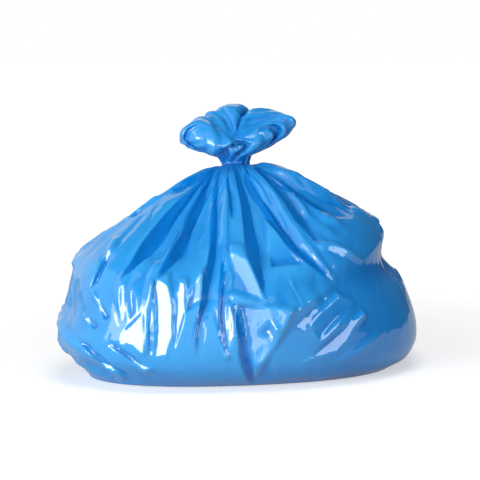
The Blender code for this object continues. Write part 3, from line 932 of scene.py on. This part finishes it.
def painted_shade_and_film_layers(grid, steep, neck):
    """How deep the film's colour is, 0 to 1: painted shade in valleys, in tucks' steep sides and to the right,
    and deeper where film gathers in layers near the neck and the mouth's middle, with painted shade there too.
    """
    sunk = np.einsum("...k,...k->...", blurred(grid, 4) - grid, grid_normals(grid))
    valley = smooth_step(FLAT_FILM_VALLEY + sunk / FULL_VALLEY)
    row = np.arange(len(grid))[:, None]
    gathered = np.exp(-np.abs(row - neck) / NECK_SHADE_ROWS) + np.exp((row - len(grid)) / MOUTH_SHADE_ROWS)
    to_right = smooth_step(grid[..., 0] / FULL_RIGHT)
    # Painted shade in valleys, in tucks' steep sides and to the right; near the neck and mouth, gathered film
    # and painted shade
    shade = PAINTED_VALLEY_SHADE * valley + PAINTED_STEEP_SIDE_SHADE * steep + GATHERED_SHADE * gathered + PAINTED_RIGHT_SIDE_SHADE * to_right
    return np.clip(shade, 0, 1)


def fitted(grid, box):
    """The grid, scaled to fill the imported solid's box: the mouth by itself first, so that the neck stays."""
    mouth_scale = (box[1][2] - NECK_HEIGHT) / (grid[..., 2].max() - NECK_HEIGHT)
    above_neck = np.maximum(grid[..., 2] - NECK_HEIGHT, 0)
    grid[..., 2] += (mouth_scale - 1) * above_neck
    lowest, highest = grid.min((0, 1)), grid.max((0, 1))
    return np.array(box[0]) + (grid - lowest) / (highest - lowest) * (np.array(box[1]) - box[0])


def closed_mesh(grid):
    """One closed mesh of the grid's points and of two more in the middles of the base and of the mouth."""
    row_count, round_count = grid.shape[:2]
    base_middle = row_count * round_count
    mouth_middle = base_middle + 1
    corners = np.concatenate([grid.reshape(-1, 3), [grid[0].mean(0)], [grid[-1].mean(0)]])
    row, column = np.meshgrid(np.arange(row_count - 1), np.arange(round_count), indexing="ij")
    after = (column + 1) % round_count
    quads = np.stack([row * round_count + column, row * round_count + after], -1)
    quads = np.concatenate([quads, quads[..., ::-1] + round_count], -1).reshape(-1, 4).tolist()
    last_row = (row_count - 1) * round_count
    caps = []
    for k in range(round_count):
        following = (k + 1) % round_count
        caps.append((base_middle, following, k))
        caps.append((mouth_middle, last_row + k, last_row + following))
    mesh = bpy.data.meshes.new("bag_film")
    mesh.from_pydata(corners.tolist(), [], quads + caps)
    mesh.shade_smooth()
    return mesh


def bag_film(box):
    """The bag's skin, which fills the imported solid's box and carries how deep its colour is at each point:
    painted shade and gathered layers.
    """
    grid, steep, neck = bag_film_grid()
    # Painted shade in valleys, tucks' steep sides and to the right, and deeper colour where film gathers
    painted_shade_and_layers = painted_shade_and_film_layers(grid, steep, neck)
    mesh = closed_mesh(fitted(grid, box))
    attribute = mesh.attributes.new("painted_shade_and_layers", "FLOAT", "POINT")
    attribute.data.foreach_set("value", np.append(painted_shade_and_layers.ravel(), [BASE_MIDDLE_SHADE_AND_LAYERS, MOUTH_MIDDLE_SHADE_AND_LAYERS]))
    piece = bpy.data.objects.new("bag_film", mesh)
    bpy.context.scene.collection.objects.link(piece)
    mesh.materials.append(film_material())
    return piece


def set_ranges(map_range, values, results):
    """Make a map range node turn these two values into these two results."""
    map_range.inputs["From Min"].default_value, map_range.inputs["From Max"].default_value = values
    map_range.inputs["To Min"].default_value, map_range.inputs["To Max"].default_value = results


def worked_out(nodes, link, operation, *values):
    """What a math node makes of these values, each a number or another node's output."""
    node = nodes.new("ShaderNodeMath")
    node.operation = operation
    for socket, value in zip(node.inputs, values):
        if isinstance(value, bpy.types.NodeSocket):
            link(value, socket)
        else:
            socket.default_value = value
    return node.outputs[0]


def noise_at(nodes, link, place, scale, detail):
    """The outputs of a noise texture at a place."""
    noise = nodes.new("ShaderNodeTexNoise")
    noise.inputs["Scale"].default_value = scale
    noise.inputs["Detail"].default_value = detail
    link(place, noise.inputs["Vector"])
    return noise.outputs


def film_material():
    """Glossy blue polythene: deeper in colour by its painted shade and gathered layers, with a fine crumple and
    duller smears.
    """
    material = bpy.data.materials.new("film")
    material.use_nodes = True
    nodes = material.node_tree.nodes
    link = material.node_tree.links.new
    shader = nodes["Principled BSDF"].inputs
    place = nodes.new("ShaderNodeTexCoord").outputs["Object"]

    # The painted shade and gathered layers that deepen the film's colour
    painted_shade_and_layers = nodes.new("ShaderNodeAttribute")
    painted_shade_and_layers.attribute_name = "painted_shade_and_layers"
    clouds = noise_at(nodes, link, place, scale=9, detail=3)
    uneven = worked_out(nodes, link, "MULTIPLY_ADD", clouds["Fac"], CLOUD_SHARE, painted_shade_and_layers.outputs["Fac"])
    colour = nodes.new("ShaderNodeValToRGB")
    film_colours = (THIN_FILM_COLOUR, SHADED_AND_GATHERED_FILM_COLOUR)
    for stop, position, film_colour in zip(colour.color_ramp.elements, COLOUR_PLACES, film_colours):
        stop.position = position
        stop.color = (*film_colour, 1)
    link(uneven, colour.inputs["Fac"])
    link(colour.outputs["Color"], shader["Base Color"])

    smears = noise_at(nodes, link, place, scale=28, detail=4)
    dullness = nodes.new("ShaderNodeMapRange")
    set_ranges(dullness, SMEAR_RANGE, FILM_ROUGHNESS)
    link(smears["Fac"], dullness.inputs["Value"])
    link(dullness.outputs["Result"], shader["Roughness"])

    crumple = nodes.new("ShaderNodeTexVoronoi")
    crumple.feature = "SMOOTH_F1"
    crumple.inputs["Scale"].default_value = 55
    crumple.inputs["Smoothness"].default_value = 0.6
    bent = nodes.new("ShaderNodeVectorMath")
    bent.operation = "MULTIPLY_ADD"
    bent.inputs[1].default_value = (CRUMPLE_SHIFT,) * 3
    link(smears["Color"], bent.inputs[0])
    link(place, bent.inputs[2])
    link(bent.outputs["Vector"], crumple.inputs["Vector"])
    bump = nodes.new("ShaderNodeBump")
    bump.inputs["Strength"].default_value = 0.25
    bump.inputs["Distance"].default_value = 0.001
    link(crumple.outputs["Distance"], bump.inputs["Height"])
    link(bump.outputs["Normal"], shader["Normal"])

    shader["IOR"].default_value = 1.5
    shader["Specular IOR Level"].default_value = 0.65
    return material


def background_rays(nodes, link, mirrored_share):
    """1 for the camera's rays, this share for those of gloss and glass, and 0 for light on things."""
    path = nodes.new("ShaderNodeLightPath").outputs
    mirrored = worked_out(nodes, link, "MAXIMUM", path["Is Glossy Ray"], path["Is Transmission Ray"])
    shared = worked_out(nodes, link, "MULTIPLY", mirrored, mirrored_share)
    return worked_out(nodes, link, "MAXIMUM", path["Is Camera Ray"], shared)


def studio_floor():
    """A pale floor that shows the bag's soft shadow and is white elsewhere."""
    middle = (0, 0, FLOOR_DROP)
    bpy.ops.mesh.primitive_circle_add(vertices=96, radius=FLOOR_RADIUS, fill_type="NGON", location=middle)
    floor = bpy.context.object
    floor.name = "floor"
    material = bpy.data.materials.new("pale_floor")
    material.use_nodes = True
    nodes = material.node_tree.nodes
    link = material.node_tree.links.new
    shader = nodes["Principled BSDF"].inputs
    shader["Base Color"].default_value = (*FLOOR_COLOUR, 1)
    shader["Roughness"].default_value = 0.9
    shader["Specular IOR Level"].default_value = 0
    shader["Emission Color"].default_value = (1, 1, 1, 1)
    away = nodes.new("ShaderNodeVectorMath")
    away.operation = "LENGTH"
    link(nodes.new("ShaderNodeTexCoord").outputs["Object"], away.inputs[0])
    glow = nodes.new("ShaderNodeMapRange")
    set_ranges(glow, SHADOW_REACH, FLOOR_WHITENING)
    link(away.outputs["Value"], glow.inputs["Value"])
    rays = background_rays(nodes, link, FLOOR_SEEN_IN_GLOSS)
    link(worked_out(nodes, link, "MULTIPLY", rays, glow.outputs["Result"]), shader["Emission Strength"])
    floor.data.materials.append(material)


def dark_card(name, lowest, highest):
    """A dark card that is seen only in reflections."""
    corners = [lowest, (lowest[0], highest[1], lowest[2]), highest, (highest[0], lowest[1], highest[2])]
    mesh = bpy.data.meshes.new(name)
    mesh.from_pydata(corners, [], [(0, 1, 2, 3)])
    card = bpy.data.objects.new(name, mesh)
    card.visible_camera = False
    card.visible_diffuse = False
    card.visible_shadow = False
    bpy.context.scene.collection.objects.link(card)
    material = bpy.data.materials.new(name)
    material.use_nodes = True
    material.node_tree.nodes["Principled BSDF"].inputs["Base Color"].default_value = (*CARD_COLOUR, 1)
    mesh.materials.append(material)


def studio_world():
    """Plain soft light from all round, behind which the camera sees white."""
    world = bpy.data.worlds.new("studio")
    bpy.context.scene.world = world
    world.use_nodes = True
    nodes = world.node_tree.nodes
    link = world.node_tree.links.new
    background = nodes["Background"]
    background.inputs["Color"].default_value = (1, 1, 1, 1)
    strength = nodes.new("ShaderNodeMix")
    strength.inputs["A"].default_value = WORLD_STRENGTH
    strength.inputs["B"].default_value = 1.0
    link(background_rays(nodes, link, 1.0), strength.inputs["Factor"])
    link(strength.outputs["Result"], background.inputs["Strength"])


def softbox(name, place, aim, width, height, power, mirrored):
    """A rectangular lamp that faces its aim and that the camera doesn't see."""
    lamp = bpy.data.lights.new(name, "AREA")
    lamp.shape = "RECTANGLE"
    lamp.size = width
    lamp.size_y = height
    lamp.energy = power
    box = bpy.data.objects.new(name, lamp)
    box.location = place
    box.rotation_euler = (Vector(aim) - Vector(place)).to_track_quat("-Z", "Y").to_euler()
    box.visible_camera = False
    box.visible_glossy = mirrored
    bpy.context.scene.collection.objects.link(box)


def photograph_camera():
    """The camera at the photograph's distance, height and framing."""
    camera = bpy.data.cameras.new("camera")
    camera.sensor_width = SENSOR_WIDTH_MM
    camera.lens = camera.sensor_width * CAMERA_DISTANCE / (PHOTO_SIDE * PIXEL_SIZE)
    view = bpy.data.objects.new("camera", camera)
    elevation = math.radians(CAMERA_ELEVATION)
    up = Vector((0, math.sin(elevation), math.cos(elevation)))
    towards_camera = Vector((0, -math.cos(elevation), math.sin(elevation)))
    aim = Vector(((PHOTO_SIDE / 2 - BASE_PIXEL[0]) * PIXEL_SIZE, 0, 0))
    aim += up * (BASE_PIXEL[1] - PHOTO_SIDE / 2) * PIXEL_SIZE
    view.location = aim + CAMERA_DISTANCE * towards_camera
    view.rotation_euler = (math.radians(90) - elevation, 0, 0)
    bpy.context.scene.collection.objects.link(view)
    bpy.context.scene.camera = view


def main():
    """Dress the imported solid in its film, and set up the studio."""
    for thing in list(bpy.data.objects):
        bpy.data.objects.remove(thing)
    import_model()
    piece = bag_film(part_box("garbage_bag"))
    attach(piece, "root")
    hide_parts("garbage_bag")
    studio_floor()
    for name, (lowest, highest) in DARK_CARDS.items():
        dark_card(name, lowest, highest)
    studio_world()
    for name, settings in SOFTBOXES.items():
        softbox(name, *settings)
    photograph_camera()
    bpy.context.scene.view_settings.view_transform = "Standard"


main()
